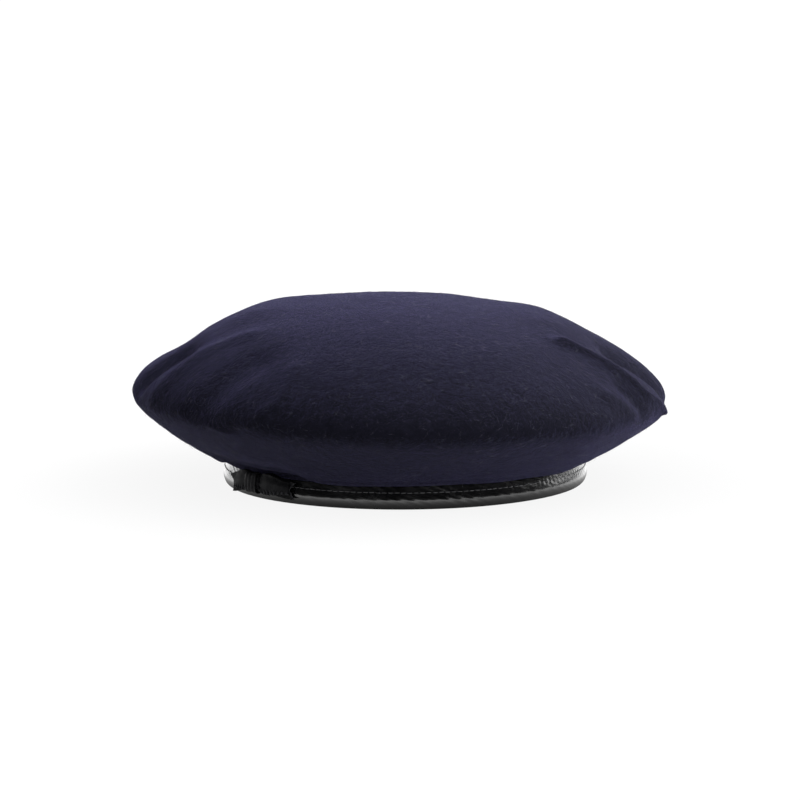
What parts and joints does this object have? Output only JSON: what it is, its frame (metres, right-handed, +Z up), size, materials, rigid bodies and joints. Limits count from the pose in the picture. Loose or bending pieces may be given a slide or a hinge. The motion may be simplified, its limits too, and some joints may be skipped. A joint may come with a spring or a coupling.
{
  "type": "beret",
  "caption": "Round felt beret with a leather-bound head opening, a lining and a small ribbon bow at the back.",
  "frame": {"origin": "centre of the head opening, on the plane that the bound edge rests on", "axes": "+Z up through the crown, -Y the wearer's front, +Y the back with the bow, +X the wearer's left"},
  "size_m": [0.274, 0.274, 0.0965],
  "materials": {
    "felt": "navy wool felt, matte, short nap",
    "leather": "black glossy leather",
    "thread": "black polyester thread, slight sheen",
    "tape": "woven cotton tape, matte",
    "lining": "black satin lining",
    "ribbon": "black ribbed grosgrain ribbon",
    "label": "blank white woven label"
  },
  "bodies": {
    "hat": {"felt_crown": "felt", "leather_binding": "leather", "binding_stitches": "thread", "stay_tape": "tape", "lining_side": "lining", "lining_tip": "lining", "lining_seam_stitches": "thread", "lining_join_stitches": "thread", "bow_knot": "ribbon", "bow_core": "ribbon", "bow_tack_stitches": "thread"},
    "bow_wing_left": {"bow_loop_left": "ribbon", "bow_tail_left": "ribbon"},
    "bow_wing_right": {"bow_loop_right": "ribbon", "bow_tail_right": "ribbon"},
    "size_label": {"size_label": "label"},
    "care_label": {"care_label": "label"}
  },
  "joints": [
    {"name": "bow_left_lift", "type": "hinge", "parent": "hat", "child": "bow_wing_left", "pos_m": [0.0047, 0.09696, 0.007], "axis": [0, 0, 1], "range_deg": [0, 30], "stiffness_Nm_per_rad": 0.0005},
    {"name": "bow_right_lift", "type": "hinge", "parent": "hat", "child": "bow_wing_right", "pos_m": [-0.0047, 0.09696, 0.007], "axis": [0, 0, -1], "range_deg": [0, 30], "stiffness_Nm_per_rad": 0.0005},
    {"name": "size_label_flip", "type": "hinge", "parent": "hat", "child": "size_label", "pos_m": [0.01097, 0.0885, 0.0132], "axis": [0.9924, -0.123, 0], "range_deg": [0, 110]},
    {"name": "care_label_flip", "type": "hinge", "parent": "hat", "child": "care_label", "pos_m": [-0.01196, 0.08837, 0.0132], "axis": [0.991, 0.1342, 0], "range_deg": [0, 110]}
  ]
}
